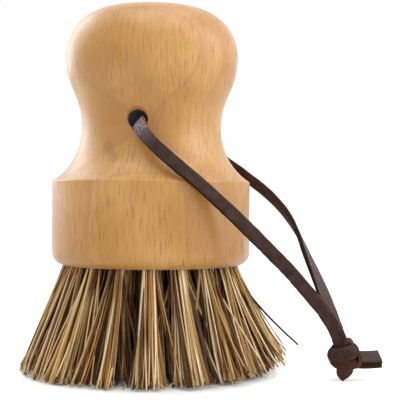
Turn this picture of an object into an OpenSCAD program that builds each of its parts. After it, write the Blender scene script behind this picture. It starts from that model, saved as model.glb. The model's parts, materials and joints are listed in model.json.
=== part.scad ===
// Palm brush: a turned wooden handle, rings of splayed bristle tufts and a leather hanging lace.
// Millimetres. +Z is up, the origin is on the brush's axis at the plane of the trimmed bristle ends,
// and the lace's cross hole runs along Y.

/* [Handle] */
// Diameter of the round block that holds the bristles
block_d = 55; // [50:0.5:62]
// Height of the block, from its lower face to the ledge
block_h = 23.1; // [20:0.1:30]
// Radius round the block's lower edge
block_edge_r = 3.4; // [1:0.1:4]
// Radius that takes the sharpness off the ledge
ledge_edge_r = 0.5; // [0.2:0.1:1]
// Height of the rim of the block that is drawn with the handle, above the parting plane
rim_h = 1.6; // [1.2:0.1:4]
// Diameter of the waist between the block and the knob
waist_d = 38.8; // [34:0.2:42]
// Height of the waist above the ledge
waist_rise = 14.8; // [12:0.2:18]
// Diameter of the knob
knob_d = 48; // [45:0.5:54]
// Height of the knob's widest ring above the waist
knob_rise = 20; // [16:0.5:24]
// Height of the crown above the knob's widest ring
crown_rise = 14.1; // [11:0.1:17]
// Radius of the shallow curve across the crown
crown_r = 95; // [70:1:140]

/* [Bristles] */
// Free length of the bristles, from the block's lower face to the trimmed ends
trim_h = 29; // [20:0.5:40]
// Diameter of the circle that the trimmed bristle ends fill
spread_d = 76.4; // [60:0.2:84]
// Diameter of the drilled holes that hold the tufts
tuft_hole_d = 4.8; // [4:0.1:5.4]
// Depth of the drilled holes, along their own axis
tuft_hole_depth = 12; // [9:0.5:15]
// Distance from the block's side to the centres of the outer ring of holes
tuft_rim = 5; // [4.5:0.1:7]
// Number of tufts in the inner ring; each ring further out has as many more
ring_step = 6; // [5:1:6]
// Clearance round a tuft's bound end in its hole
tuft_gap = 0.1; // [0.05:0.01:0.2]
// Least gap between the splayed ends of two tufts
tip_gap = 0.4; // [0.2:0.1:1]

/* [Staples] */
// Thickness of the flat wire that anchors a tuft
staple_t = 0.5; // [0.3:0.05:0.7]
// Width of the flat wire, along the hole
staple_w = 1.6; // [1:0.1:2]
// How far each end of the wire bites into the wood beyond the hole's wall
staple_bite = 0.4; // [0.2:0.05:0.5]
// Wood left between the wire and the hole's end, where the bristles bend over it
staple_cover = 1.4; // [1:0.1:2]
// Clearance round the wire in the tuft and in the wood
staple_gap = 0.05; // [0.02:0.01:0.1]

/* [Lace] */
// Width of the flat leather lace
lace_w = 3.5; // [3:0.1:4.2]
// Thickness of the lace
lace_t = 1.3; // [1:0.1:1.8]
// Diameter of the cross hole for the lace
lace_hole_d = 5.2; // [4.8:0.1:6.5]
// Height of the cross hole above the waist
lace_hole_rise = 1.3; // [0:0.1:3]
// Width of the broken edge round the cross hole's mouths
lace_hole_break = 0.5; // [0.2:0.1:1]
// Length of the lace's two cut ends beyond the knot
tail_length = 6; // [5:0.5:14]

/* [Hidden] */
$fn = 64;
ring_names = ["inner", "middle", "outer"];
ring_count = len(ring_names);

block_r = block_d / 2;
waist_r = waist_d / 2;
knob_r = knob_d / 2;
ledge_z = trim_h + block_h;
parting_z = ledge_z - rim_h;
waist_z = ledge_z + waist_rise;
knob_z = waist_z + knob_rise;
top_z = knob_z + crown_rise;

// The cove is one arc, upright at the waist, that ends on the ledge
cove_out = block_r - waist_r;
cove_r = (cove_out * cove_out + waist_rise * waist_rise) / (2 * cove_out);
// Above the waist two equal arcs meet halfway, one hollow and one round
swell_out = knob_r - waist_r;
swell_r = (swell_out * swell_out + knob_rise * knob_rise) / (4 * swell_out);
// The shoulder arc is upright at the knob's widest ring and runs smoothly into the crown
crown_z = top_z - crown_r;
shoulder_r = (crown_r * crown_r - knob_r * knob_r - (knob_z - crown_z) * (knob_z - crown_z))
    / (2 * (crown_r - knob_r));
shoulder_x = knob_r - shoulder_r;
crown_edge_x = shoulder_x * crown_r / (crown_r - shoulder_r);

// Rings of tufts: pitch at the block's lower face and pitch of the trimmed ends
ring_pitch = (block_r - tuft_rim) / ring_count;
tip_pitch = spread_d / 2 / (ring_count + 0.5);
stem_r = tuft_hole_d / 2 - tuft_gap;
// The bound part of a tuft ends a little outside the hole, and the splay starts there
stem_out = 1;
tip_r = (tip_pitch - tip_gap) / 2 * cos(ring_tilt(ring_count));
staple_z = tuft_hole_depth - staple_cover - staple_w / 2;
staple_length = tuft_hole_d + 2 * staple_bite;

lace_hole_z = waist_z + lace_hole_rise;
lace_hole_r = lace_hole_d / 2;
lace_edge = 0.4;

// The lace's route: each row is a point of its centre line and the way its broad face looks there.
// Both strands start in the middle of the cross hole and end in the knot.
front_route = [
    [[0, 0, 68.2], [-0.7, 0, 0.7]],
    [[0, -8, 68.2], [-0.7, 0, 0.7]],
    [[0.1, -15, 68], [-0.7, 0, 0.7]],
    [[0.5, -18.5, 67.5], [-0.7, 0, 0.7]],
    [[1.1, -20.9, 66.3], [-0.5, -0.7, 0.5]],
    [[2.4, -22.2, 64.3], [-0.2, -1, 0.2]],
    [[5, -23, 61.6], [0, -1, 0.1]],
    [[8.1, -23.6, 58.9], [0.2, -1, 0.2]],
    [[11.5, -24, 56], [0.4, -0.9, 0.3]],
    [[15.1, -24, 53.2], [0.5, -0.8, 0.3]],
    [[18.7, -22.9, 49.9], [0.5, -0.8, 0.2]],
    [[22.1, -21.6, 46.7], [0.5, -0.8, 0.2]],
    [[28.3, -19.6, 40.7], [0.4, -0.9, 0.2]],
    [[35.2, -17.2, 33.6], [0.3, -0.9, 0.2]],
    [[40.1, -15.4, 28.5], [0.3, -1, 0.2]],
    [[45, -13.6, 22.7], [0.3, -1, 0.2]],
    [[49.4, -12, 17], [0.3, -1, 0.1]],
    [[52.2, -11, 11.9], [0.2, -1, 0]],
    [[53.2, -10.4, 8.6], [0.2, -1, 0]]
];
back_route = [
    [[0, 0, 68.2], [-0.7, 0, 0.7]],
    [[0, 8, 68.2], [-0.8, 0, 0.5]],
    [[0.1, 15, 68.2], [-0.9, 0, 0.3]],
    [[0.4, 18.4, 68.1], [-0.9, 0.1, 0.2]],
    [[1.6, 20.6, 67.9], [-0.6, 0.8, 0.1]],
    [[4.2, 21.6, 67.1], [0, 1, 0.1]],
    [[9.1, 21.3, 64.9], [0.2, 0.9, 0.2]],
    [[14.1, 19.2, 61.7], [0.3, 0.8, 0.4]],
    [[18.8, 16.7, 58.4], [0.4, 0.7, 0.6]],
    [[22.8, 14.5, 55.7], [0.4, 0.7, 0.6]],
    [[25.8, 13.2, 53.5], [0.4, 0.7, 0.6]],
    [[29.4, 12, 50.9], [0.4, 0.7, 0.6]],
    [[33.7, 10.4, 47.2], [0.5, 0.6, 0.6]],
    [[37.9, 8.2, 42.4], [0.7, 0.4, 0.5]],
    [[41, 5.8, 37.3], [0.9, 0.1, 0.5]],
    [[43.4, 3.2, 32.1], [0.9, -0.3, 0.3]],
    [[46, 0.4, 26.7], [0.8, -0.6, 0.3]],
    [[48.2, -2.2, 22], [0.6, -0.8, 0.2]],
    [[50.2, -4.6, 17.2], [0.5, -0.9, 0.1]],
    [[51.9, -6.8, 12.8], [0.4, -0.9, 0.1]],
    [[53.2, -8.5, 9.6], [0.3, -0.9, 0]]
];
knot_centre = [54, -9.8, 6.8];
// Two round lobes make the knot's body: their radius, and where each lies from the knot's centre
knot_lobe_r = 3.2;
knot_lobe_out = [1.6, 0, 0.6];
// The band that wraps the body: its radius, and how far its axis leans from upright
knot_band_r = 4.1;
knot_band_lean = 62;
// The fold that the knot stands on: its radii on the floor and at its top, and how far its top is sunk
knot_foot_r = [0.6, 2.4];
knot_foot_sunk = 2;
// The tails: where they start from the knot's centre, how much of them is in it, and their turn
tail_start = 2.8;
tail_tuck = 1;
tail_turn = 9;

function tuft_name(ring, i) = str("tuft_", ring_names[ring - 1], "_", i);
function ring_tilt(ring) = atan(ring * (tip_pitch - ring_pitch) / trim_h);
function tuft_angle(ring, i) = (i - 1 + (ring % 2 == 0 ? 0.5 : 0)) * 360 / (ring * ring_step);

// Puts a shape on a tuft's axis: local z = 0 is the hole's mouth and +z runs into the block
module at_tuft(ring, i) {
    turn = ring == 0 ? 0 : tuft_angle(ring, i);
    rotate([0, 0, turn])
        translate([ring * ring_pitch, 0, trim_h])
            rotate([0, -ring_tilt(ring), 0])
                children();
}

// Visits the centre tuft and every tuft of every ring
module at_all_tufts() {
    at_tuft(0, 1) children();
    for (ring = [1 : ring_count])
        for (i = [1 : ring * ring_step])
            at_tuft(ring, i) children();
}

// Flat wire with a clearance all round, across the hole
module staple_wire(gap) {
    translate([0, 0, staple_z])
        cube([staple_t + 2 * gap, staple_length + 2 * gap, staple_w + 2 * gap], center = true);
}

module block_outline() {
    translate([0, trim_h])
        square([block_r - block_edge_r, parting_z - trim_h]);
    translate([0, trim_h + block_edge_r])
        square([block_r, parting_z - trim_h - block_edge_r]);
    translate([block_r - block_edge_r, trim_h + block_edge_r])
        circle(r = block_edge_r);
}

module rim_outline() {
    translate([0, parting_z])
        square([block_r, rim_h]);
}

module cove_outline() {
    difference() {
        translate([0, ledge_z])
            square([block_r, waist_rise]);
        translate([waist_r + cove_r, waist_z])
            circle(r = cove_r, $fn = 180);
    }
}

// The hollow arc above the waist, then the round one up to the knob's widest ring
module swell_outline() {
    half_rise = knob_rise / 2;
    difference() {
        translate([0, waist_z])
            square([waist_r + swell_out / 2, half_rise]);
        translate([waist_r + swell_r, waist_z])
            circle(r = swell_r, $fn = 180);
    }
    intersection() {
        translate([0, waist_z + half_rise])
            square([knob_r, half_rise]);
        translate([knob_r - swell_r, knob_z])
            circle(r = swell_r, $fn = 180);
    }
}

module crown_outline() {
    intersection() {
        translate([0, knob_z])
            square([crown_edge_x, crown_rise]);
        translate([0, crown_z])
            circle(r = crown_r, $fn = 360);
    }
    intersection() {
        translate([shoulder_x, knob_z])
            square([shoulder_r, shoulder_r]);
        translate([shoulder_x, knob_z])
            circle(r = shoulder_r, $fn = 120);
    }
}

// A small arc takes the place of the sharp corner between the cove and the block's side
module soften_ledge() {
    centre_x = block_r - ledge_edge_r;
    reach = cove_r + ledge_edge_r;
    across = waist_r + cove_r - centre_x;
    centre_z = waist_z - sqrt(reach * reach - across * across);
    to_cove = [across, waist_z - centre_z] / reach;
    beyond = 2 * ledge_edge_r;
    difference() {
        children();
        polygon([
            [centre_x, centre_z],
            [block_r + beyond, centre_z],
            [block_r + beyond, ledge_z + beyond],
            [centre_x, centre_z] + beyond * to_cove
        ]);
    }
    translate([centre_x, centre_z])
        circle(r = ledge_edge_r);
}

module lace_hole() {
    translate([0, 0, lace_hole_z])
        rotate([90, 0, 0]) {
            cylinder(r = lace_hole_r, h = 2 * knob_r, center = true);
            for (side = [0, 180])
                rotate([0, side, 0])
                    translate([0, 0, waist_r - lace_hole_break])
                        cylinder(r1 = lace_hole_r, r2 = lace_hole_r + 2 * lace_hole_break,
                            h = 2 * lace_hole_break);
        }
}

// The handle and the block are turned from one piece of wood: they are drawn as two solids that
// meet face to face at the parting plane, just under the ledge
module handle() {
    color("burlywood")
        difference() {
            rotate_extrude($fn = 128)
                soften_ledge() {
                    rim_outline();
                    cove_outline();
                    swell_outline();
                    crown_outline();
                }
            lace_hole();
        }
}

module tuft_block() {
    color("burlywood")
        difference() {
            rotate_extrude($fn = 128)
                block_outline();
            at_all_tufts() {
                translate([0, 0, -tuft_hole_d])
                    cylinder(d = tuft_hole_d, h = tuft_hole_depth + tuft_hole_d);
                staple_wire(staple_gap);
            }
        }
}

// One bundle of bristles: bound stem in the hole, splayed below, trimmed flat at the origin's plane
module tuft(ring, i) {
    axis_length = trim_h / cos(ring_tilt(ring));
    splay = (tip_r - stem_r) / (axis_length - stem_out);
    past_floor = tip_r;
    end_r = tip_r + splay * past_floor;
    color([0.52, 0.40, 0.25])
        intersection() {
            at_tuft(ring, i)
                difference() {
                    union() {
                        translate([0, 0, -stem_out])
                            cylinder(r = stem_r, h = tuft_hole_depth - tuft_gap + stem_out);
                        translate([0, 0, -axis_length - past_floor])
                            cylinder(r1 = end_r, r2 = stem_r,
                                h = axis_length + past_floor - stem_out);
                    }
                    staple_wire(staple_gap);
                }
            translate([-spread_d, -spread_d, 0])
                cube([2 * spread_d, 2 * spread_d, ledge_z]);
        }
}

module staples() {
    color("silver")
        at_all_tufts() staple_wire(0);
}

function unit(v) = v / norm(v);
function along(route, i) =
    unit(route[min(i + 1, len(route) - 1)][0] - route[max(i - 1, 0)][0]);

// The lace's section: a flat strip with broken edges, as [across, outward]
function lace_section() = let (w = lace_w / 2, t = lace_t / 2, e = lace_edge) [
    [w, t - e], [w - e, t], [e - w, t], [-w, t - e],
    [-w, e - t], [e - w, -t], [w - e, -t], [w, e - t]
];
function lace_ring(route, i) =
    let (
        ahead = along(route, i),
        across = unit(cross(ahead, route[i][1])),
        outward = cross(across, ahead)
    )
    [for (s = lace_section()) route[i][0] + s[0] * across + s[1] * outward];

module lace_strand(route) {
    sides = len(lace_section());
    last = (len(route) - 1) * sides;
    start_cap = [[for (k = [0 : sides - 1]) k]];
    end_cap = [[for (k = [sides - 1 : -1 : 0]) last + k]];
    walls = [
        for (i = [0 : len(route) - 2])
            for (k = [0 : sides - 1])
                for (half = [0, 1])
                    let (a = i * sides + k, b = i * sides + (k + 1) % sides)
                        half == 0 ? [a, a + sides, b] : [b, a + sides, b + sides]
    ];
    color([0.29, 0.24, 0.22])
        polyhedron(
            points = [for (i = [0 : len(route) - 1]) each lace_ring(route, i)],
            faces = concat(start_cap, walls, end_cap)
        );
}

// The knot: a rounded body, the band that wraps it, and the fold that it stands on
module lace_knot() {
    color([0.27, 0.22, 0.20]) {
        translate(knot_centre)
            hull()
                for (side = [-1, 1])
                    translate(side * knot_lobe_out)
                        sphere(r = knot_lobe_r, $fn = 24);
        translate(knot_centre)
            rotate([0, knot_band_lean, 0])
                cylinder(r = knot_band_r, h = lace_w, center = true);
        translate([knot_centre[0], knot_centre[1], 0])
            cylinder(r1 = knot_foot_r[0], r2 = knot_foot_r[1],
                h = knot_centre[2] - knot_foot_sunk);
    }
}

// A cut end of the lace: a flat strip with a slanted end, from the knot outward along +X
module lace_tail(height, roll, slant) {
    reach = tail_length + tail_tuck;
    color([0.29, 0.24, 0.22])
        translate([knot_centre[0] + tail_start, knot_centre[1], height])
            rotate([roll, 0, tail_turn])
                linear_extrude(height = lace_t, center = true)
                    polygon([
                        [0, -lace_w / 2], [reach - slant, -lace_w / 2],
                        [reach, lace_w / 2], [0, lace_w / 2]
                    ]);
}

handle();
tuft_block();
tuft(0, 1);  // tuft_centre
for (ring = [1 : ring_count])
    for (i = [1 : ring * ring_step])
        tuft(ring, i);
staples();
lace_strand(front_route);  // lace_front
lace_strand(back_route);  // lace_back
lace_knot();
lace_tail(height = 5.8, roll = 55, slant = 1.2);  // lace_tail_upper
lace_tail(height = 3.4, roll = 5, slant = 0.6);  // lace_tail_lower
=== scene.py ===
"""Palm brush: the looks of the wood, the bristles and the leather lace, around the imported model."""

import json
import math
import random

import bpy
import numpy as np
from mathutils import Matrix, Vector


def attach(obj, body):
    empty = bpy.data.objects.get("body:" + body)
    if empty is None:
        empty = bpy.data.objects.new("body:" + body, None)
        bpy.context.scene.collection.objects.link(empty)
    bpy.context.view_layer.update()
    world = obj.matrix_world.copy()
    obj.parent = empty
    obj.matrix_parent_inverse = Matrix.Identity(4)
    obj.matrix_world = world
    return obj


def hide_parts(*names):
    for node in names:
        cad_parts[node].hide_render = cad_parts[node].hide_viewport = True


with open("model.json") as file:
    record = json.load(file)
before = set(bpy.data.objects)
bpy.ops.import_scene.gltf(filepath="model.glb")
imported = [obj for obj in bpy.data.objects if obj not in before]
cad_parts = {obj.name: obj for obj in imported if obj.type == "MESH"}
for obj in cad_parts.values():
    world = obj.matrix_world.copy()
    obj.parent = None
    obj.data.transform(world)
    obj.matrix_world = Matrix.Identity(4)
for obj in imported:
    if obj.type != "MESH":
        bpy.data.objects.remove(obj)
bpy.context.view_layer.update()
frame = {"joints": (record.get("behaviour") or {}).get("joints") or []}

MM = 0.001

# Camera: level, a little to the right of the brush, and turned a little off the cross hole's axis
VIEW_AZIMUTH = math.radians(8.7)
CAMERA_DISTANCE = 291.6 * MM
CAMERA_SIDE = 13.66 * MM
CAMERA_HEIGHT = 47.1 * MM
CAMERA_LENS_MM = 93.6
CAMERA_ROLL = math.radians(0.4)

# Sizes that the looks share with the solids, in millimetres
BLOCK_BOTTOM = 29.0
HOLE_HEIGHT = frame["joints"][0]["pos_m"][2] / MM
HOLE_RADIUS = 2.6
RING_COUNTS = {"inner": 6, "middle": 12, "outer": 18}
RING_PITCH = 7.5
TIP_PITCH = 10.91
STEM_RADIUS = 2.25
TIP_RADIUS = 5.4
SPREAD_RADIUS = 38.2

# Bristles: lengths in millimetres, and counts for the centre tuft and each of the rings round it
FIBRE_COUNTS = (44, 48, 58, 66)
HAIR_COUNTS = (0, 0, 3, 9)
FIRST_SEED = 700
ROOT_DEPTH = 2.5
SPLAY_START = 1.5
# Fibres end inside this share of their tuft's tip, give or take; some cross over to a neighbour
TIP_FILL = 0.85
WANDER = 1.5
CROSSING_WANDER = 4.0
CROSSING_SHARE = 0.3
# A fibre's bend: its share of the way down and of the way out, how much further out it is at -X,
# and how far it wanders
BOW_DOWN = 0.66
SPLAY_BOW = 0.54
MORE_BOW = 0.16
BOW_WANDER = 1.0
# The ends are trimmed between these heights, and a few are up to this much shorter
TRIM_HEIGHTS = (0.05, 0.5)
SHORTER_BY = 2
# The tufts splay this much less at -X than at +X, where the outermost ends also stand clear
LESS_SPLAY = 2.4
END_LIFT = 4.5
LIFT_FROM = 31
LIFT_OVER = 7
# Where a fibre that sticks out of its tuft ends, and how far it hangs back on its way there
STRAYS = {"tuft_outer_1": [(41.0, 6.3, 6.7)]}
STRAY_SAG = 3.2
STRAY_WIDTH = 0.8
STRAY_TONE = (78, 64, 50)
# Frayed hairs: how wide round the tuft's tip they start, at which heights, and how far out they run
HAIR_SPREAD = 2.4
HAIR_HEIGHTS = (1.5, 4)
HAIR_REACHES = (0.5, 2.5)
HAIR_WANDER = 1.2
HAIR_WIDTHS = (0.1, 0.18)
HAIR_TONE = (226, 204, 168)

LACE_WIDTH = 3.5
LACE_THICKNESS = 1.3
KNOT_CENTRE = np.array([54, -9.8, 6.8])

# The lace's route in millimetres: points of its centre line, and the way its broad face looks there
FRONT_ROUTE = [
    [(0, 0, 68.2), (-0.7, 0, 0.7)],
    [(0, -8, 68.2), (-0.7, 0, 0.7)],
    [(0.1, -15, 68), (-0.7, 0, 0.7)],
    [(0.5, -18.5, 67.5), (-0.7, 0, 0.7)],
    [(1.1, -20.9, 66.3), (-0.5, -0.7, 0.5)],
    [(2.4, -22.2, 64.3), (-0.2, -1, 0.2)],
    [(5, -23, 61.6), (0, -1, 0.1)],
    [(8.1, -23.6, 58.9), (0.2, -1, 0.2)],
    [(11.5, -24, 56), (0.4, -0.9, 0.3)],
    [(15.1, -24, 53.2), (0.5, -0.8, 0.3)],
    [(18.7, -22.9, 49.9), (0.5, -0.8, 0.2)],
    [(22.1, -21.6, 46.7), (0.5, -0.8, 0.2)],
    [(28.3, -19.6, 40.7), (0.4, -0.9, 0.2)],
    [(35.2, -17.2, 33.6), (0.3, -0.9, 0.2)],
    [(40.1, -15.4, 28.5), (0.3, -1, 0.2)],
    [(45, -13.6, 22.7), (0.3, -1, 0.2)],
    [(49.4, -12, 17), (0.3, -1, 0.1)],
    [(52.2, -11, 11.9), (0.2, -1, 0)],
    [(53.2, -10.4, 8.6), (0.2, -1, 0)],
]
BACK_ROUTE = [
    [(0, 0, 68.2), (-0.7, 0, 0.7)],
    [(0, 8, 68.2), (-0.8, 0, 0.5)],
    [(0.1, 15, 68.2), (-0.9, 0, 0.3)],
    [(0.4, 18.4, 68.1), (-0.9, 0.1, 0.2)],
    [(1.6, 20.6, 67.9), (-0.6, 0.8, 0.1)],
    [(4.2, 21.6, 67.1), (0, 1, 0.1)],
    [(9.1, 21.3, 64.9), (0.2, 0.9, 0.2)],
    [(14.1, 19.2, 61.7), (0.3, 0.8, 0.4)],
    [(18.8, 16.7, 58.4), (0.4, 0.7, 0.6)],
    [(22.8, 14.5, 55.7), (0.4, 0.7, 0.6)],
    [(25.8, 13.2, 53.5), (0.4, 0.7, 0.6)],
    [(29.4, 12, 50.9), (0.4, 0.7, 0.6)],
    [(33.7, 10.4, 47.2), (0.5, 0.6, 0.6)],
    [(37.9, 8.2, 42.4), (0.7, 0.4, 0.5)],
    [(41, 5.8, 37.3), (0.9, 0.1, 0.5)],
    [(43.4, 3.2, 32.1), (0.9, -0.3, 0.3)],
    [(46, 0.4, 26.7), (0.8, -0.6, 0.3)],
    [(48.2, -2.2, 22), (0.6, -0.8, 0.2)],
    [(50.2, -4.6, 17.2), (0.5, -0.9, 0.1)],
    [(51.9, -6.8, 12.8), (0.4, -0.9, 0.1)],
    [(53.2, -8.5, 9.6), (0.3, -0.9, 0)],
]

# The knot's turns: the same kind of list for each, in millimetres from its centre, measured across
# the view, toward the camera and up
MAIN_TURN = [
    [(-3.9, 0.2, -0.2), (-1, 0.2, 0)],
    [(-2.9, 2.4, -0.1), (-0.7, 0.7, 0)],
    [(-0.6, 3.5, 0.4), (-0.1, 1, 0.1)],
    [(1.8, 3.1, 1.0), (0.5, 0.9, 0.2)],
    [(3.1, 1.4, 1.2), (0.9, 0.4, 0.2)],
    [(3.0, -1.2, 1.0), (0.9, -0.4, 0.1)],
    [(0.4, -3.2, 0.5), (0, -1, 0)],
    [(-2.8, -2.2, -0.1), (-0.7, -0.7, 0)],
]
LOWER_TURN = [
    [(-3.2, 0.2, -2.1), (-0.9, 0.1, -0.4)],
    [(-2.1, 2.1, -2.5), (-0.6, 0.7, -0.4)],
    [(0.2, 2.8, -2.8), (0, 0.9, -0.5)],
    [(2.4, 2.0, -2.6), (0.6, 0.7, -0.4)],
    [(3.3, 0.2, -2.2), (1, 0, -0.3)],
    [(1.0, -2.4, -2.0), (0, -1, -0.3)],
    [(-2.0, -1.8, -2.0), (-0.7, -0.7, -0.3)],
]
SIDE_TURN = [
    [(0.8, 0.6, 2.5), (-0.2, 0, 1)],
    [(2.2, 0.8, 2.1), (0.5, 0, 0.8)],
    [(3.3, 0.9, 0.8), (0.9, 0, 0.4)],
    [(3.9, 0.9, -0.9), (1, 0, -0.1)],
    [(3.7, 0.9, -2.2), (0.8, 0, -0.6)],
    [(2.4, 0.8, -3.0), (0.2, 0, -1)],
    [(0.8, 0.5, -3.1), (0, 0, -1)],
]
TOP_LOOP = [
    [(0.0, 1.0, 2.1), (-0.9, 0.4, 0.2)],
    [(0.2, 1.5, 3.2), (-0.8, 0.4, 0.6)],
    [(1.0, 1.7, 3.9), (0, 0.4, 0.9)],
    [(1.7, 1.5, 3.3), (0.8, 0.4, 0.5)],
    [(2.1, 1.0, 2.0), (0.9, 0.3, 0.1)],
]
NUB_RIGHT = [
    [(0.6, 1.2, -2.4), (0.2, 1, -0.2)],
    [(0.4, 1.4, -3.9), (0.2, 1, -0.1)],
    [(-0.1, 1.2, -5.3), (0.2, 1, -0.1)],
    [(-0.6, 0.8, -6.7), (0.2, 1, -0.2)],
]
NUB_LEFT = [
    [(-1.0, 1.6, -2.6), (-0.5, 0.9, 0)],
    [(-1.3, 1.9, -3.9), (-0.5, 0.9, 0)],
    [(-1.4, 1.7, -5.1), (-0.5, 0.9, -0.1)],
    [(-1.0, 1.2, -6.2), (-0.4, 0.9, -0.3)],
]
UPPER_TAIL = [
    [(0.6, 0.2, -0.9), (0, 0.8, 0.6)],
    [(2.9, 0.2, -0.9), (0, 0.8, 0.6)],
    [(5.4, 0.2, -0.8), (0, 0.8, 0.6)],
    [(9.4, 0.1, -0.6), (0, 0.8, 0.6)],
]
LOWER_TAIL = [
    [(0.4, -0.4, -2.9), (0, -0.2, 1)],
    [(2.9, -0.4, -3.1), (0, -0.2, 1)],
    [(5.4, -0.4, -3.2), (0, -0.2, 1)],
    [(9.6, -0.4, -3.0), (0, -0.2, 1)],
]

# The knot's core, and its strips in the order they are made: the turn, the step along it, whether
# it closes on itself, and the strip's settings. A pair of lists is shares of the strip's length and
# the setting's values there.
KNOT_CORE_OFFSET = (-0.3, 0.2, -0.2)
KNOT_CORE_RADII = (3.8, 2.8, 3.8)
KNOT_STRIPS = [
    (LOWER_TURN, 0.3, True, {"widths": 2.8, "thickness": 1.2, "grain_out": False, "crown": 0.6}),
    (SIDE_TURN, 0.3, False, {"thickness": 1.1, "ragged": 0.24,
                             "raw": ([0, 0.2, 0.35, 0.6, 0.8, 1], [0, 0.04, 0.16, 0.3, 0.2, 0.06])}),
    (MAIN_TURN, 0.3, True, {"widths": 3.8, "thickness": 1.2, "crown": 0.7}),
    # The wear shares of the top loop and the nubs paint a pale highlight on them as well as wear
    (TOP_LOOP, 0.25, False, {"widths": 2.2, "thickness": 0.9, "grain_out": False, "crown": 0.2,
                             "wear": 0.28}),
    (NUB_RIGHT, 0.25, False, {"widths": ([0, 0.4, 0.7, 1], [4.0, 4.0, 3.0, 0.6]), "crown": 0.5,
                              "wear": 0.1}),
    (NUB_LEFT, 0.25, False, {"widths": ([0, 0.4, 0.7, 1], [2.0, 2.0, 1.5, 0.3]), "crown": 0.5,
                             "wear": 0.1, "grain_out": False}),
]

# Wear with painted sheen, and raw edges, of the two strands: millimetres along each from the middle
# of the hole, and shares there. The wear share paints the face paler where the strand bends over the
# hole and turns to the light, as a painted highlight as well as wear, and the back strand's grain side
# greyer near the knot as a painted reflection
FRONT_WEAR_AND_SHEEN = ([16, 19, 22.5, 25.5, 29], [0.5, 1, 0.85, 0.4, 0])
FRONT_RAW = ([15, 17, 22, 26, 84, 90, 97, 99], [0, 0.8, 0.8, 0.05, 0.1, 0.7, 0.6, 0])
BACK_WEAR_AND_SHEEN = ([16, 19.5, 24, 30, 66, 76, 98], [0.3, 1, 0.6, 0.15, 0.2, 0.52, 0.36])
BACK_RAW = ([15, 17, 22, 26], [0, 0.8, 0.8, 0.05])

# Stage: the floor's size in metres, its gap under the brush, and the ground under the brush, in
# millimetres, that is left darker than the rest
FLOOR_REACH = 6.0
FLOOR_GAP = 0.1 * MM
FLOOR_TONE = (0.88, 0.88, 0.88)
FLOOR_GLOW = 0.42
SHADOW_MIDDLE = (1, -10, 0)
SHADOW_INNER = 30
SHADOW_OUTER = 38

# Light: the world's strength, and soft panels with their places and sizes in metres and their watts
WORLD_LIGHT = 0.7
OBJECT_MIDDLE = (0, 0, 0.05)
PANELS = [
    ("top", (0.1, -0.1, 0.7), (0.6, 0.6), 2.2),
    ("left", (-0.5, 0.3, 0.3), (0.4, 0.5), 1.6),
    ("right", (0.55, 0.0, 0.3), (0.4, 0.5), 1.6),
]


def unit(v):
    v = np.asarray(v, float)
    return v / np.linalg.norm(v, axis=-1, keepdims=True)


def make_camera():
    right = Vector((math.cos(VIEW_AZIMUTH), math.sin(VIEW_AZIMUTH), 0))
    toward = Vector((math.sin(VIEW_AZIMUTH), -math.cos(VIEW_AZIMUTH), 0))
    data = bpy.data.cameras.new("camera")
    data.sensor_width = 36
    data.lens = CAMERA_LENS_MM
    data.clip_start = 0.01
    camera = bpy.data.objects.new("camera", data)
    bpy.context.scene.collection.objects.link(camera)
    place = right * CAMERA_SIDE + toward * CAMERA_DISTANCE + Vector((0, 0, CAMERA_HEIGHT))
    look = (-toward).to_track_quat("-Z", "Y").to_matrix().to_4x4()
    camera.matrix_world = Matrix.Translation(place) @ look @ Matrix.Rotation(CAMERA_ROLL, 4, "Z")
    bpy.context.scene.camera = camera


def srgb(red, green, blue):
    """A colour written as 0 to 255 display values, as the linear values that shaders take."""
    def linear(value):
        value /= 255
        return value / 12.92 if value <= 0.04045 else ((value + 0.055) / 1.055) ** 2.4
    return tuple(linear(v) for v in (red, green, blue))


def put(tree, socket, value):
    """Sets an input to a number, a colour or a vector, or links a socket to it."""
    if isinstance(value, bpy.types.NodeSocket):
        tree.links.new(value, socket)
    elif socket.type == "RGBA" and len(value) == 3:
        socket.default_value = (*value, 1)
    else:
        socket.default_value = value


def add(tree, kind, settings=None, **inputs):
    """A new node with its settings, and with each named input set or linked."""
    node = tree.nodes.new(kind)
    for key, value in (settings or {}).items():
        setattr(node, key, value)
    for key, value in inputs.items():
        put(tree, node.inputs[key.replace("_", " ")], value)
    return node


def calc(tree, operation, a, b=0.0, clamp=False):
    """The result of a Math node on two numbers or sockets."""
    node = add(tree, "ShaderNodeMath", {"operation": operation, "use_clamp": clamp})
    put(tree, node.inputs[0], a)
    put(tree, node.inputs[1], b)
    return node.outputs[0]


def fade(tree, value, start, end, low=0.0, high=1.0):
    """Goes smoothly from low at start to high at end."""
    node = add(tree, "ShaderNodeMapRange", {"interpolation_type": "SMOOTHSTEP"}, Value=value,
               From_Min=start, From_Max=end, To_Min=low, To_Max=high)
    return node.outputs[0]


def ramp(tree, factor, stops):
    """A Color Ramp's colour; stops are pairs of a position and a grey or a colour."""
    node = tree.nodes.new("ShaderNodeValToRGB")
    band = node.color_ramp
    while len(band.elements) < len(stops):
        band.elements.new(1.0)
    for element, (position, tone) in zip(band.elements, stops):
        element.position = position
        element.color = (tone, tone, tone, 1) if isinstance(tone, (int, float)) else (*tone, 1)
    tree.links.new(factor, node.inputs["Fac"])
    return node.outputs["Color"]


def blend_colour(tree, factor, a, b, mode="MIX"):
    """Mixes colours a and b, each a colour or a socket, by a factor."""
    node = add(tree, "ShaderNodeMix", {"data_type": "RGBA", "blend_type": mode})
    put(tree, node.inputs[0], factor)
    put(tree, node.inputs[6], a)
    put(tree, node.inputs[7], b)
    return node.outputs[2]


def new_material(name):
    material = bpy.data.materials.new(name)
    material.use_nodes = True
    tree = material.node_tree
    tree.nodes.clear()
    shader = tree.nodes.new("ShaderNodeBsdfPrincipled")
    output = tree.nodes.new("ShaderNodeOutputMaterial")
    tree.links.new(shader.outputs[0], output.inputs["Surface"])
    return material, tree, shader


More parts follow.
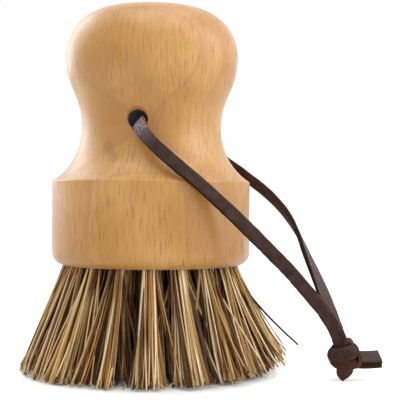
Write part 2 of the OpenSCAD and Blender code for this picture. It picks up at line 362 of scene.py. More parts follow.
def vector_calc(tree, operation, a, b):
    """The Vector or the Value that a Vector Math node makes of two vectors."""
    node = add(tree, "ShaderNodeVectorMath", {"operation": operation})
    put(tree, node.inputs[0], a)
    put(tree, node.inputs[1], b)
    return node.outputs["Value" if operation == "DISTANCE" else "Vector"]


def millimetres(tree):
    """Object coordinates in millimetres: each piece's object sits at the brush's origin."""
    coords = tree.nodes.new("ShaderNodeTexCoord").outputs["Object"]
    return vector_calc(tree, "MULTIPLY", coords, (1 / MM, 1 / MM, 1 / MM))


def sized(tree, vector, size):
    """The vector divided by a feature's size along each axis, in millimetres."""
    return vector_calc(tree, "DIVIDE", vector, size)


def noise(tree, vector, size, detail=3.0, roughness=0.5):
    """A noise around 0.5 whose features have this size along X, Y and Z."""
    node = add(tree, "ShaderNodeTexNoise", Vector=sized(tree, vector, size), Scale=1.0,
               Detail=detail, Roughness=roughness)
    return node.outputs[0]


def specks(tree, vector, size, reach, soft):
    """1 inside scattered spindles, 0 outside: each is 2 x reach x size long on each axis."""
    cells = add(tree, "ShaderNodeTexVoronoi", Vector=sized(tree, vector, size), Scale=1.0)
    return fade(tree, cells.outputs["Distance"], reach, reach + soft, 1.0, 0.0)


BEECH_TONES = {
    "honey": srgb(178, 123, 50),
    "straw": srgb(190, 136, 60),
    "blush": srgb(206, 154, 84),
    "streak": srgb(176, 120, 56),
    "layer": srgb(164, 106, 50),
    "faint fleck": srgb(166, 108, 52),
    "dark fleck": srgb(132, 80, 40),
    "bruise": srgb(136, 92, 54),
    "hole_darkening": srgb(40, 26, 18),
}
# Sizes of the wood's figure in millimetres; the flecks' are their cells, reach and softness
BRUISES = [((-8.5, -20.2, 61.5), 3.4), ((-6.0, -22.0, 58.8), 2.6)]
PITH = (0, 80, 0)
LAYER_PITCH = 6.4
LAYER_WANDER = 7.0
FAINT_FLECKS = ((0.44, 9, 7.0), 0.16, 0.13)
STRONG_FLECKS = ((0.5, 9, 8.6), 0.14, 0.11)
FLECK_SHIFT = (31.7, 12.9, 47.3)
FLECK_BEND = 0.9


def beech_material():
    """Flat-sawn beech: growth layers round a far pith, ray flecks along the grain, a satin oil."""
    material, tree, shader = new_material("beech_oiled")
    place = millimetres(tree)
    x, y, z = add(tree, "ShaderNodeSeparateXYZ", Vector=place).outputs

    # Growth layers are wide arcs round a pith far behind the brush's axis
    wander = noise(tree, place, (26, 26, 50), detail=3.0, roughness=0.4)
    flat = add(tree, "ShaderNodeCombineXYZ", X=x, Y=y, Z=0.0).outputs[0]
    from_pith = vector_calc(tree, "DISTANCE", flat, PITH)
    layer = calc(tree, "ADD", from_pith, calc(tree, "MULTIPLY", wander, LAYER_WANDER))
    layer = calc(tree, "FRACT", calc(tree, "DIVIDE", layer, LAYER_PITCH))
    layer_line = ramp(tree, layer, [(0.0, 0.0), (0.5, 0.05), (0.86, 0.3), (0.95, 1.0), (1.0, 0.0)])

    # Broad soft clouds of tone, and fine streaks along the grain
    clouds = noise(tree, place, (20, 20, 26), detail=3.0)
    streaks = noise(tree, place, (0.7, 3.0, 30), detail=4.0, roughness=0.6)
    tone = ramp(tree, clouds, [(0.34, BEECH_TONES["honey"]), (0.5, BEECH_TONES["straw"]),
                               (0.66, BEECH_TONES["blush"])])
    tone = blend_colour(tree, fade(tree, streaks, 0.42, 0.72, 0.0, 0.45), tone, BEECH_TONES["streak"])
    tone = blend_colour(tree, calc(tree, "MULTIPLY", layer_line, 0.4), tone, BEECH_TONES["layer"])

    # Ray flecks: thin spindles along the grain, more of them low on the brush
    sway = calc(tree, "MULTIPLY", noise(tree, place, (12, 12, 14), detail=1.0), FLECK_BEND)
    sway = add(tree, "ShaderNodeCombineXYZ", X=sway, Y=0.0, Z=0.0).outputs[0]
    bent = vector_calc(tree, "ADD", place, sway)
    lower = fade(tree, z, 62, 48)
    uneven = noise(tree, place, (7, 7, 12), detail=1.0)
    faint = specks(tree, bent, *FAINT_FLECKS)
    faint = calc(tree, "MULTIPLY", faint, fade(tree, uneven, 0.35, 0.6, 0.4, 0.9))
    tone = blend_colour(tree, faint, tone, BEECH_TONES["faint fleck"])
    strong = specks(tree, vector_calc(tree, "ADD", bent, FLECK_SHIFT), *STRONG_FLECKS)
    presence = fade(tree, uneven, 0.4, 0.6, 0.14, 0.6)
    presence = calc(tree, "ADD", presence, calc(tree, "MULTIPLY", lower, 0.3))
    strong = calc(tree, "MULTIPLY", strong, presence, clamp=True)
    tone = blend_colour(tree, strong, tone, BEECH_TONES["dark fleck"])

    # Two small bruises low on the waist
    blur = noise(tree, place, (1.2, 1.2, 1.2), detail=3.0)
    for spot, reach in BRUISES:
        near = vector_calc(tree, "DISTANCE", place, spot)
        near = calc(tree, "ADD", near, calc(tree, "MULTIPLY", blur, -2.4))
        mark = fade(tree, near, -0.6, reach - 1.2, 0.62, 0.0)
        tone = blend_colour(tree, mark, tone, BEECH_TONES["bruise"])

    # The wall of the drilled hole is darker, out to a ragged rim on the face round it
    ragged = noise(tree, place, (0.7, 0.7, 0.7), detail=3.0)
    height = calc(tree, "SUBTRACT", z, HOLE_HEIGHT)
    squares = calc(tree, "ADD", calc(tree, "MULTIPLY", x, x), calc(tree, "MULTIPLY", height, height))
    from_hole = calc(tree, "SUBTRACT", calc(tree, "SQRT", squares), calc(tree, "MULTIPLY", ragged, 0.9))
    hole_darkening = fade(tree, from_hole, HOLE_RADIUS - 0.55, HOLE_RADIUS - 0.2, 1.0, 0.0)
    tone = blend_colour(tree, hole_darkening, tone, BEECH_TONES["hole_darkening"])

    tree.links.new(tone, shader.inputs["Base Color"])
    dull = noise(tree, place, (5, 5, 9), detail=4.0)
    rough = calc(tree, "ADD", fade(tree, dull, 0.3, 0.7, 0.34, 0.48), calc(tree, "MULTIPLY", strong, 0.15))
    tree.links.new(rough, shader.inputs["Roughness"])
    shader.inputs["Coat Weight"].default_value = 0.42
    shader.inputs["Coat Roughness"].default_value = 0.35
    shader.inputs["Sheen Weight"].default_value = 0.28
    shader.inputs["Sheen Roughness"].default_value = 0.35

    # Open pores are shallow grooves along the grain, and each fleck is a little sunken
    pores = noise(tree, place, (0.16, 0.5, 5.0), detail=2.0)
    relief = calc(tree, "SUBTRACT", calc(tree, "MULTIPLY", pores, 0.3), strong)
    bump = add(tree, "ShaderNodeBump", Strength=0.3, Distance=0.06 * MM, Height=relief)
    tree.links.new(bump.outputs[0], shader.inputs["Normal"])
    return material


def leather_material():
    """Thin dark lace: a pebbled grain side painted paler where worn and where a painted sheen lies, a
    napped flesh side, raw edges.
    """
    material, tree, shader = new_material("lace_leather")
    layer = add(tree, "ShaderNodeAttribute", {"attribute_name": "layer"}).outputs["Fac"]
    wear = add(tree, "ShaderNodeAttribute", {"attribute_name": "wear"}).outputs["Fac"]
    raw = add(tree, "ShaderNodeAttribute", {"attribute_name": "raw"}).outputs["Fac"]
    place = millimetres(tree)

    blotch = noise(tree, place, (2.2, 2.2, 2.2), detail=4.0, roughness=0.6)
    fine = noise(tree, place, (0.26, 0.26, 0.26), detail=3.0, roughness=0.6)
    grain = ramp(tree, blotch, [(0.3, srgb(50, 32, 26)), (0.5, srgb(62, 43, 36)), (0.7, srgb(72, 54, 47))])
    grain = blend_colour(tree, fade(tree, fine, 0.45, 0.7, 0.0, 0.3), grain, srgb(40, 26, 21))

    nap = noise(tree, place, (0.3, 0.3, 0.3), detail=4.0, roughness=0.7)
    flesh = ramp(tree, nap, [(0.3, srgb(44, 25, 18)), (0.5, srgb(66, 39, 28)), (0.7, srgb(92, 60, 42))])
    flesh = blend_colour(tree, fade(tree, blotch, 0.6, 0.72, 0.0, 0.4), flesh, srgb(140, 88, 50))

    frayed = noise(tree, place, (0.5, 0.5, 0.5), detail=4.0, roughness=0.7)
    dark_edge = ramp(tree, frayed, [(0.36, srgb(28, 18, 14)), (0.54, srgb(46, 30, 23)),
                                    (0.72, srgb(78, 50, 34))])
    tan_edge = ramp(tree, frayed, [(0.34, srgb(70, 38, 22)), (0.5, srgb(138, 84, 44)),
                                   (0.66, srgb(206, 158, 104))])
    edge = blend_colour(tree, raw, dark_edge, tan_edge)

    on_grain = fade(tree, layer, 0.66, 0.84)
    on_flesh = fade(tree, layer, 0.34, 0.16)
    tone = blend_colour(tree, on_grain, edge, grain)
    tone = blend_colour(tree, on_flesh, tone, flesh)

    # Wear and painted sheen: the higher the wear share, the paler the face is painted, partly as wear and
    # partly as a painted reflection on the pebbled grain, and the more of its pebbles are painted as pale
    # glints, rubbed bare, with dark pits between them
    faces = calc(tree, "ADD", on_grain, on_flesh)
    pale_wear_and_sheen = calc(tree, "MULTIPLY", calc(tree, "MULTIPLY", wear, 0.4), faces)
    tone = blend_colour(tree, pale_wear_and_sheen, tone, srgb(150, 134, 144))
    level = calc(tree, "SUBTRACT", 0.76, calc(tree, "MULTIPLY", wear, 0.34))
    rubbed_and_glinting = fade(tree, fine, level, calc(tree, "ADD", level, 0.09))
    rubbed_and_glinting = calc(tree, "MULTIPLY", rubbed_and_glinting, faces)
    rubbed_and_glinting = calc(tree, "MULTIPLY", rubbed_and_glinting, fade(tree, wear, 0.0, 0.2))
    tone = blend_colour(tree, calc(tree, "MULTIPLY", rubbed_and_glinting, 0.85), tone, srgb(180, 166, 178))
    pits = calc(tree, "MULTIPLY", fade(tree, fine, 0.48, 0.38), calc(tree, "MULTIPLY", wear, faces))
    tone = blend_colour(tree, calc(tree, "MULTIPLY", pits, 1.2, clamp=True), tone, srgb(52, 38, 36))
    tree.links.new(tone, shader.inputs["Base Color"])

    rough = calc(tree, "SUBTRACT", 0.8, calc(tree, "MULTIPLY", on_grain, 0.2))
    tree.links.new(rough, shader.inputs["Roughness"])
    shader.inputs["Specular IOR Level"].default_value = 0.14

    cells = add(tree, "ShaderNodeTexVoronoi", {"feature": "SMOOTH_F1"},
                Vector=sized(tree, place, (0.34, 0.34, 0.34)), Scale=1.0)
    relief = calc(tree, "MULTIPLY", cells.outputs["Distance"], calc(tree, "MULTIPLY", on_grain, -0.5))
    relief = calc(tree, "ADD", relief, calc(tree, "MULTIPLY", nap, fade(tree, layer, 0.9, 0.5, 0.1, 0.8)))
    bump = add(tree, "ShaderNodeBump", Strength=0.6, Distance=0.12 * MM, Height=relief)
    tree.links.new(bump.outputs[0], shader.inputs["Normal"])
    return material


def bristle_material():
    """Plant fibre: each fibre has a tone of its own, with streaks and patches along it."""
    material, tree, shader = new_material("union_bristle")
    tone = add(tree, "ShaderNodeAttribute", {"attribute_name": "tone"}).outputs["Color"]
    place = add(tree, "ShaderNodeAttribute", {"attribute_name": "fibre"}).outputs["Vector"]
    patches = noise(tree, place, (0.6, 0.6, 7.0), detail=3.0, roughness=0.6)
    streaks = noise(tree, place, (0.12, 0.12, 5.0), detail=2.0)
    browner = fade(tree, patches, 0.3, 0.7, 0.0, 0.34)
    tone = blend_colour(tree, browner, tone, (0.7, 0.54, 0.38), "MULTIPLY")
    darker = fade(tree, streaks, 0.5, 0.75, 0.0, 0.46)
    tone = blend_colour(tree, darker, tone, (0.52, 0.37, 0.25), "MULTIPLY")
    tree.links.new(tone, shader.inputs["Base Color"])
    tree.links.new(fade(tree, patches, 0.3, 0.7, 0.42, 0.62), shader.inputs["Roughness"])
    shader.inputs["Specular IOR Level"].default_value = 0.25
    bump = add(tree, "ShaderNodeBump", Strength=0.35, Distance=0.05 * MM, Height=streaks)
    tree.links.new(bump.outputs[0], shader.inputs["Normal"])
    return material


def wire_material():
    """Dull galvanised wire of the staples."""
    material, tree, shader = new_material("staple_wire")
    scratches = noise(tree, millimetres(tree), (0.2, 0.2, 2.0), detail=3.0)
    tree.links.new(ramp(tree, scratches, [(0.3, srgb(120, 118, 114)), (0.7, srgb(176, 174, 170))]),
                   shader.inputs["Base Color"])
    tree.links.new(fade(tree, scratches, 0.3, 0.7, 0.3, 0.5), shader.inputs["Roughness"])
    shader.inputs["Metallic"].default_value = 1.0
    return material


def mesh_piece(name, points, faces, material, body):
    """A piece from points in millimetres, at the brush's origin, riding on a body."""
    mesh = bpy.data.meshes.new(name)
    mesh.from_pydata((np.asarray(points) * MM).tolist(), [], faces)
    mesh.materials.append(material)
    mesh.polygons.foreach_set("use_smooth", [True] * len(mesh.polygons))
    piece = bpy.data.objects.new(name, mesh)
    bpy.context.scene.collection.objects.link(piece)
    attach(piece, body)
    return piece


def set_attribute(piece, name, kind, values):
    field = "color" if kind == "FLOAT_COLOR" else "vector" if kind == "FLOAT_VECTOR" else "value"
    attribute = piece.data.attributes.new(name, kind, "POINT")
    attribute.data.foreach_set(field, np.asarray(values, float).ravel())


def spline(values, knots, at):
    """A cubic curve through the values, with the slopes of a parabola through each three."""
    slopes = np.gradient(values, knots, axis=0)
    i = np.clip(np.searchsorted(knots, at, side="right") - 1, 0, len(knots) - 2)
    span = (knots[i + 1] - knots[i])[:, None]
    t = (at - knots[i])[:, None] / span
    start = (1 + 2 * t) * (1 - t) ** 2 * values[i] + t * (1 - t) ** 2 * span * slopes[i]
    end = t ** 2 * (3 - 2 * t) * values[i + 1] + t ** 2 * (t - 1) * span * slopes[i + 1]
    return start + end


def follow(route, step, closed=False, centre=(0, 0, 0), axes=np.eye(3)):
    """Centres and outward faces at even steps along a smooth curve through a route's points."""
    points = np.array([point for point, _ in route], float) @ axes + centre
    faces = unit([face for _, face in route]) @ axes
    if closed:
        points = np.vstack([points[-3:], points, points[:3]])
        faces = np.vstack([faces[-3:], faces, faces[:3]])
    chords = np.linalg.norm(np.diff(points, axis=0), axis=1)
    knots = np.concatenate([[0], np.cumsum(chords)])
    first, last = (knots[3], knots[-3]) if closed else (0, knots[-1])
    at = np.linspace(first, last, max(int((last - first) / step), 4))
    return spline(points, knots, at), unit(spline(faces, knots, at))


def smooth_noise(rng, count, spacing):
    """A row of random numbers from -1 to 1 that wander from one to the next every few steps."""
    knots = np.arange(0, count + spacing, spacing, dtype=float)
    values = np.array([rng.uniform(-1, 1) for _ in knots])
    return np.interp(np.arange(count), knots, values)


# The lace's section as shares of half its width and half its thickness, and its layer:
# 1 on the grain side, 0 on the flesh side and about 0.5 on the cut edge
STRAP_SECTION = [
    (-0.90, 0.96, 0.95), (-0.62, 1.0, 1), (-0.3, 1.03, 1), (0, 1.04, 1), (0.3, 1.03, 1), (0.62, 1.0, 1),
    (0.90, 0.96, 0.95), (0.985, 0.74, 0.62), (1.0, 0.36, 0.5), (1.0, -0.36, 0.5), (0.985, -0.74, 0.38),
    (0.90, -0.96, 0.05), (0.62, -1.0, 0), (0.3, -1.0, 0), (0, -1.0, 0), (-0.3, -1.0, 0), (-0.62, -1.0, 0),
    (-0.90, -0.96, 0.05), (-0.985, -0.74, 0.38), (-1.0, -0.36, 0.5), (-1.0, 0.36, 0.5),
    (-0.985, 0.74, 0.62),
]


class Strap:
    """Strips of lace gathered into one mesh: points, faces, and each point's layer, wear with painted
    sheen, and rawness.
    """

    def __init__(self, seed):
        self.rng = random.Random(seed)
        self.points, self.faces, self.layer, self.wear, self.raw = [], [], [], [], []

    def strip(self, centres, outward, widths=LACE_WIDTH, thickness=LACE_THICKNESS, grain_out=True,
              wear=0.0, raw=0.1, raw_side=0, cut=0.0, crown=0.0, closed=False, ragged=0.06):
        """Sweeps the section along the centres.

        cut slants the far end and crown drops both edges, in millimetres. widths, the wear share and raw
        are one number for the strip or one for each step; the wear share and raw are shares from 0 to 1,
        and raw_side is the edge that is raw, -1 or 1, or 0 for both. The wear share paints the faces
        paler, partly as wear and partly as a painted sheen.
        """
        tangents = unit(np.gradient(centres, axis=0))
        if closed:
            centres, outward = centres[:-1], outward[:-1]
            tangents = unit(np.roll(centres, -1, axis=0) - np.roll(centres, 1, axis=0))
        count = len(centres)
        across = unit(np.cross(tangents, outward))
        outward = unit(np.cross(across, tangents))
        widths, wear, raw = (np.broadcast_to(values, count) for values in (widths, wear, raw))
        left = smooth_noise(self.rng, count, 2) + smooth_noise(self.rng, count, 9)
        right = smooth_noise(self.rng, count, 2) + smooth_noise(self.rng, count, 9)
        swell = smooth_noise(self.rng, count, 12)
        slant = np.linspace(0, 1, count) ** 6 * cut
        base, size = len(self.points), len(STRAP_SECTION)
        for k in range(count):
            for side, height, layer in STRAP_SECTION:
                edge = (left[k] if side < 0 else right[k]) * ragged * abs(side) ** 4
                reach = side * widths[k] / 2 + math.copysign(1, side) * edge
                rise = height * thickness / 2 * (1 + 0.05 * swell[k]) - crown * side ** 2
                point = centres[k] + across[k] * reach + outward[k] * rise
                self.points.append(point + tangents[k] * slant[k] * side)
                self.layer.append(layer if grain_out else 1 - layer)
                self.wear.append(wear[k])
                self.raw.append(raw[k] * (0.15 if side * raw_side < 0 else 1))
        for k in range(count if closed else count - 1):
            here, there = base + k * size, base + (k + 1) % count * size
            for j in range(size):
                n = (j + 1) % size
                self.faces.append((here + j, here + n, there + n, there + j))
        if not closed:
            self.faces.append(tuple(base + j for j in reversed(range(size))))
            self.faces.append(tuple(base + (count - 1) * size + j for j in range(size)))

    def blob(self, centre, radii, rows=12, columns=20):
        """A lumpy closed core that fills the knot behind its turns."""
        base = len(self.points)
        for i in range(rows + 1):
            up = math.pi * i / rows
            for j in range(columns if 0 < i < rows else 1):
                turn = 2 * math.pi * j / columns
                way = np.array([math.sin(up) * math.cos(turn), math.sin(up) * math.sin(turn), math.cos(up)])
                lump = 1 + 0.05 * math.sin(5 * turn + 3 * up)
                self.points.append(np.asarray(centre) + way * radii * lump)
                self.layer.append(0.5)
                self.wear.append(0.0)
                self.raw.append(0.0)

        def at(i, j):
            if i == 0:
                return base
            if i == rows:
                return base + 1 + (rows - 1) * columns
            return base + 1 + (i - 1) * columns + j % columns

        for i in range(rows):
            for j in range(columns):
                ring = [at(i, j), at(i + 1, j), at(i + 1, j + 1), at(i, j + 1)]
                self.faces.append(tuple(dict.fromkeys(ring)))

    def piece(self, name, material):
        piece = mesh_piece(name, self.points, self.faces, material, "lace_loop")
        set_attribute(piece, "layer", "FLOAT", self.layer)
        set_attribute(piece, "wear", "FLOAT", self.wear)
        set_attribute(piece, "raw", "FLOAT", self.raw)
        return piece


def lace_strand(name, node, route, worn_and_sheen, cut_raw, seed, leather):
    """One strand of the lace, from the middle of the cross hole to the knot."""
    centres, outward = follow(route, step=0.5)
    lengths = np.concatenate([[0], np.cumsum(np.linalg.norm(np.diff(centres, axis=0), axis=1))])
    strap = Strap(seed)
    strap.strip(centres, outward, wear=np.interp(lengths, *worn_and_sheen), raw=np.interp(lengths, *cut_raw),
                raw_side=-1)
    piece = strap.piece(name, leather)
    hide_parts(node)


def knot_turn(turn, step, closed=False):
    """A turn's centres and outward faces, from the knot's own measures to the brush's."""
    across = (math.cos(VIEW_AZIMUTH), math.sin(VIEW_AZIMUTH), 0)
    toward = (math.sin(VIEW_AZIMUTH), -math.cos(VIEW_AZIMUTH), 0)
    return follow(turn, step, closed, KNOT_CENTRE, np.array([across, toward, (0, 0, 1)]))


def lace_knot(leather):
    """The overhand knot: turns of lace round a core, a small loop on top and a pinched fold below."""
    strap = Strap(seed=41)
    strap.blob(KNOT_CENTRE + KNOT_CORE_OFFSET, np.array(KNOT_CORE_RADII))
    for turn, step, closed, settings in KNOT_STRIPS:
        centres, outward = knot_turn(turn, step, closed)
        shares = np.linspace(0, 1, len(centres))
        settings = {key: np.interp(shares, *value) if isinstance(value, tuple) else value
                    for key, value in settings.items()}
        strap.strip(centres, outward, closed=closed, **settings)
    piece = strap.piece("knot_wraps", leather)
    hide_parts("lace_knot")
    return piece


def lace_tail(name, node, route, cut, wear, raw, seed, leather):
    """One cut end of the lace, from inside the knot out to one side."""
    strap = Strap(seed)
    strap.strip(*knot_turn(route, 0.3), cut=cut, wear=wear, raw=raw)
    piece = strap.piece(name, leather)
    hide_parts(node)
    return piece


# Fibre kinds: share of the mix, width in millimetres, flatness, and the tones each comes in
FIBRES = [
    (0.22, (0.5, 1.15), 0.45, [(68, 44, 28), (82, 54, 34), (54, 36, 24), (98, 68, 46)]),
    (0.13, (0.5, 1.1), 0.5, [(120, 80, 46), (104, 66, 38), (142, 98, 58)]),
    (0.07, (0.5, 0.9), 0.6, [(190, 132, 68), (168, 112, 58), (202, 148, 82)]),
    (0.35, (0.4, 1.0), 0.6, [(218, 184, 120), (206, 168, 104), (188, 156, 96), (228, 198, 142)]),
    (0.23, (0.3, 0.75), 0.65, [(240, 216, 168), (232, 206, 154), (246, 228, 190)]),
]
FIBRE_SIDES = 6
FIBRE_RINGS = 11


def fibre_kind(rng):
    pick, total = rng.random(), 0.0
    for share, widths, flatness, tones in FIBRES:
        total += share
        if pick < total:
            break
    return rng.uniform(*widths), flatness, srgb(*rng.choice(tones))


class Tuft:
    """Fibres gathered into one mesh."""

    def __init__(self, count):
        self.count = count
        self.points, self.faces, self.tone, self.fibre, self.strips = [], [], [], [], []

    def fibre_along(self, rng, line, width, flatness, tone, index, cut_flat=True):
        """One flat fibre along a cubic curve with four control points, trimmed level at its end."""
        t = np.linspace(0, 1, FIBRE_RINGS)[:, None]
        a, b, c, d = line
        centres = (1 - t) ** 3 * a + 3 * t * (1 - t) ** 2 * b + 3 * t ** 2 * (1 - t) * c + t ** 3 * d
        tangents = unit(np.gradient(centres, axis=0))
        turn = rng.uniform(0, 2 * math.pi)
        side = np.array([math.cos(turn), math.sin(turn), 0])
        taper = np.interp(t[:, 0], [0, 0.1, 0.7, 1], [0.95, 1, 0.95, 0.85])
        reaches = width / 2 * taper * (1 + 0.1 * smooth_noise(rng, FIBRE_RINGS, 2))
        drift = (rng.uniform(-50, 50), rng.uniform(-50, 50))
        base = len(self.points)
        length = np.linalg.norm(d - a)
        for k in range(FIBRE_RINGS):
            broad = unit(np.cross(tangents[k], side))
            narrow = unit(np.cross(broad, tangents[k]))
            for j in range(FIBRE_SIDES):
                angle = 2 * math.pi * j / FIBRE_SIDES
                east, north = math.cos(angle), math.sin(angle)
                offset = broad * reaches[k] * east + narrow * reaches[k] * flatness * north
                if k == FIBRE_RINGS - 1 and cut_flat:
                    offset[2] = 0
                self.points.append(centres[k] + offset)
                self.tone.append((*tone, 1))
                self.fibre.append((drift[0] + east * width / 2, drift[1] + north * width / 2,
                                   t[k, 0] * length))
        for k in range(FIBRE_RINGS - 1):
            for j in range(FIBRE_SIDES):
                n = (j + 1) % FIBRE_SIDES
                here, there = base + k * FIBRE_SIDES, base + (k + 1) * FIBRE_SIDES
                self.faces.append((here + j, here + n, there + n, there + j))
                self.strips.append([(index, j, k), (index, j + 1, k), (index, j + 1, k + 1),
                                    (index, j, k + 1)])
        last = base + (FIBRE_RINGS - 1) * FIBRE_SIDES
        for cap, k in ((list(reversed(range(base, base + FIBRE_SIDES))), 0),
                       (list(range(last, last + FIBRE_SIDES)), FIBRE_RINGS - 1)):
            self.faces.append(tuple(cap))
            self.strips.append([(index, j, k) for j in range(FIBRE_SIDES)])

    def piece(self, name, node, material):
        piece = mesh_piece(name, self.points, self.faces, material, "brush")
        set_attribute(piece, "tone", "FLOAT_COLOR", self.tone)
        set_attribute(piece, "fibre", "FLOAT_VECTOR", self.fibre)
        layer = piece.data.uv_layers.new(name="OFBake")
        flat = [((i + 0.15 + 0.7 * j / FIBRE_SIDES) / self.count, 0.01 + 0.98 * k / (FIBRE_RINGS - 1))
                for strip in self.strips for i, j, k in strip]
        layer.data.foreach_set("uv", np.array(flat).ravel())
        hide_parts(node)
        return piece


def tuft_places():
    """Name of each tuft, with the mouth and the tip of its axis in millimetres, and its ring."""
    yield "tuft_centre", np.array([0, 0, BLOCK_BOTTOM]), np.zeros(3), 0
    for ring, (ring_name, count) in enumerate(RING_COUNTS.items(), start=1):
        half_step = 0.5 if ring % 2 == 0 else 0
        for i in range(1, count + 1):
            angle = math.radians((i - 1 + half_step) * 360 / count)
            way = np.array([math.cos(angle), math.sin(angle), 0])
            mouth = way * ring * RING_PITCH + (0, 0, BLOCK_BOTTOM)
            yield f"tuft_{ring_name}_{i}", mouth, way * ring * TIP_PITCH, ring


def sideways(rng, size):
    """A random level offset of about this size."""
    return np.array([rng.gauss(0, size), rng.gauss(0, size), 0])


def held_in(point):
    """The point, pulled in level to the edge that the trimmed ends fill."""
    reach = max(math.hypot(point[0], point[1]), 1)
    limit = SPREAD_RADIUS - LESS_SPLAY * (1 - point[0] / reach) / 2
    return point * (np.array([1, 1, 0]) * min(1, limit / reach) + (0, 0, 1))


def end_height(rng, point):
    """Height of a trimmed end: level, but the outermost ends at +X lean out and stand clear."""
    reach = max(math.hypot(point[0], point[1]), 1)
    leaning = max(0, (reach - LIFT_FROM) / LIFT_OVER) ** 2 * max(0, point[0] / reach) ** 1.5
    trimmed = rng.uniform(*TRIM_HEIGHTS) + rng.random() ** 5 * SHORTER_BY
    return trimmed + END_LIFT * leaning * rng.uniform(0.4, 1)


def bristle_tufts(material):
    """Each tuft: fibres that splay and cross, fine frayed hairs low down on the outer ones, strays."""
    for number, (node, mouth, tip, ring) in enumerate(tuft_places()):
        rng = random.Random(FIRST_SEED + number)
        strays = STRAYS.get(node, [])
        grown = FIBRE_COUNTS[ring] + HAIR_COUNTS[ring]
        tuft = Tuft(grown + len(strays))
        axis = unit(tip - mouth)
        for index in range(FIBRE_COUNTS[ring]):
            spread = math.sqrt(rng.random())
            angle = rng.uniform(0, 2 * math.pi)
            way = np.array([math.cos(angle), math.sin(angle), 0])
            width, flatness, tone = fibre_kind(rng)
            start = mouth + way * spread * (STEM_RADIUS - width / 2) - axis * ROOT_DEPTH
            leave = mouth + way * spread * (STEM_RADIUS - width / 2) + axis * SPLAY_START
            wander = CROSSING_WANDER if rng.random() < CROSSING_SHARE else WANDER
            end = held_in(tip + way * spread * TIP_RADIUS * TIP_FILL + sideways(rng, wander))
            end[2] = end_height(rng, end)
            bow = SPLAY_BOW + MORE_BOW * max(0, -end[0] / SPREAD_RADIUS)
            middle = leave + (end - leave) * (bow, bow, BOW_DOWN) + sideways(rng, BOW_WANDER)
            tuft.fibre_along(rng, (start, leave, middle, end), width, flatness, tone, index)
        for index in range(FIBRE_COUNTS[ring], grown):
            root = tip + sideways(rng, HAIR_SPREAD) + (0, 0, rng.uniform(*HAIR_HEIGHTS))
            out = unit(tip + (0.01, 0, 0)) * rng.uniform(*HAIR_REACHES)
            end = held_in(root + out + sideways(rng, HAIR_WANDER))
            end[2] = rng.uniform(0.1, 0.9)
            middle = (root + end) / 2 + sideways(rng, 0.5)
            tuft.fibre_along(rng, (held_in(root), held_in(middle), held_in(middle), end),
                             rng.uniform(*HAIR_WIDTHS), 0.8, srgb(*HAIR_TONE), index, cut_flat=False)
        for index, end in enumerate(strays, start=grown):
            start = mouth - axis * ROOT_DEPTH
            middle = (mouth + end) / 2 - (STRAY_SAG, 0, 0)
            tuft.fibre_along(rng, (start, mouth + axis * 3, middle, np.array(end)), STRAY_WIDTH, 0.7,
                             srgb(*STRAY_TONE), index, cut_flat=False)
        tuft.piece(node.replace("tuft", "bristles"), node, material)


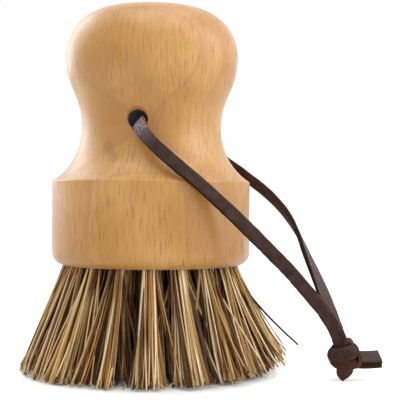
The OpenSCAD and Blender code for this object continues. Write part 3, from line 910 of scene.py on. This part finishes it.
def stage():
    """A white floor that keeps the shadow near the brush, and a white surround."""
    mesh = bpy.data.meshes.new("floor")
    corners = [(x * FLOOR_REACH, y * FLOOR_REACH, 0) for x, y in ((-1, -1), (1, -1), (1, 1), (-1, 1))]
    mesh.from_pydata(corners, [], [(0, 1, 2, 3)])
    floor = bpy.data.objects.new("floor", mesh)
    floor.location.z = -FLOOR_GAP
    bpy.context.scene.collection.objects.link(floor)
    material = bpy.data.materials.new("floor_white")
    material.use_nodes = True
    tree = material.node_tree
    tree.nodes.clear()
    path = tree.nodes.new("ShaderNodeLightPath")
    matte = add(tree, "ShaderNodeBsdfDiffuse", Color=FLOOR_TONE)
    # Painted shade: the glow is held back round a middle set toward the camera, so the ground in front of
    # the brush is darker than the rest of the floor
    from_shadow = vector_calc(tree, "DISTANCE", millimetres(tree), SHADOW_MIDDLE)
    lift = fade(tree, from_shadow, SHADOW_INNER, SHADOW_OUTER, 0.0, FLOOR_GLOW)
    glow = add(tree, "ShaderNodeEmission", Color=(1, 1, 1),
               Strength=calc(tree, "MULTIPLY", path.outputs["Is Camera Ray"], lift))
    both = tree.nodes.new("ShaderNodeAddShader")
    tree.links.new(matte.outputs[0], both.inputs[0])
    tree.links.new(glow.outputs[0], both.inputs[1])
    output = tree.nodes.new("ShaderNodeOutputMaterial")
    tree.links.new(both.outputs[0], output.inputs["Surface"])
    mesh.materials.append(material)

    world = bpy.data.worlds.new("studio")
    bpy.context.scene.world = world
    world.use_nodes = True
    tree = world.node_tree
    background = tree.nodes["Background"]
    path = tree.nodes.new("ShaderNodeLightPath")
    seen = calc(tree, "MAXIMUM", path.outputs["Is Camera Ray"], path.outputs["Is Transmission Ray"])
    seen = calc(tree, "MAXIMUM", seen, path.outputs["Is Glossy Ray"])
    tree.links.new(fade(tree, seen, 0, 1, WORLD_LIGHT, 1.0), background.inputs["Strength"])
    background.inputs["Color"].default_value = (1, 1, 1, 1)


def studio_lights():
    """Soft panels above and beside the brush, all turned to its middle."""
    for name, place, size, watts in PANELS:
        data = bpy.data.lights.new(name, "AREA")
        data.shape = "RECTANGLE"
        data.size, data.size_y = size
        data.energy = watts
        light = bpy.data.objects.new(name, data)
        light.location = place
        aim = Vector(OBJECT_MIDDLE) - Vector(place)
        light.rotation_euler = aim.to_track_quat("-Z", "Y").to_euler()
        bpy.context.scene.collection.objects.link(light)


make_camera()
leather = leather_material()
knot = lace_knot(leather)
# The upper tail's wear share paints a pale sheen on it as well as wear
upper_tail = lace_tail("tail_upper", "lace_tail_upper", UPPER_TAIL, cut=0.4, wear=0.3, raw=0.12, seed=51,
                       leather=leather)
lower_tail = lace_tail("tail_lower", "lace_tail_lower", LOWER_TAIL, cut=0.2, wear=0.0, raw=0.0, seed=52,
                       leather=leather)
lace_strand("strand_front", "lace_front", FRONT_ROUTE, FRONT_WEAR_AND_SHEEN, FRONT_RAW,
            61, leather)
lace_strand("strand_back", "lace_back", BACK_ROUTE, BACK_WEAR_AND_SHEEN, BACK_RAW, 62, leather)

beech = beech_material()
wire = wire_material()
for node_name, node_material in (("handle", beech), ("tuft_block", beech), ("staples", wire)):
    for slot in bpy.data.objects[node_name].material_slots:
        slot.material = node_material
bristle_tufts(bristle_material())

stage()
studio_lights()
bpy.context.scene.view_settings.view_transform = "Standard"
